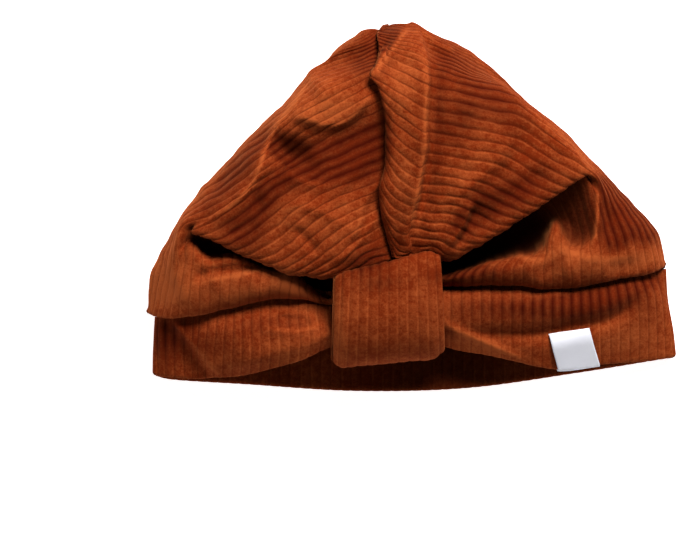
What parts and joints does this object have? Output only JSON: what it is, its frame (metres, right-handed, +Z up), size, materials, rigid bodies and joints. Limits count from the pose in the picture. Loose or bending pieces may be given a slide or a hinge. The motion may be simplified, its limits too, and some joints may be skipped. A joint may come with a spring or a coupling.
{
  "type": "turban beanie",
  "caption": "Child's turban beanie in ribbed velour, pleated into a knot loop at the front, lying flat on its back.",
  "frame": {"origin": "on the surface the beanie lies on, at the centre of its footprint", "axes": "+Z up out of the gathered front, +X across the hat to the side with the label, +Y from the rim to the crown's tip"},
  "size_m": [0.1935, 0.134, 0.0438],
  "materials": {
    "velour": "rust wide-rib cotton velour with a soft sheen",
    "label_weave": "plain white woven ribbon"
  },
  "bodies": {
    "root": {"crown_left": "velour", "crown_right": "velour", "rim_band": "velour", "knot_loop": "velour", "label": "label_weave"}
  },
  "joints": []
}
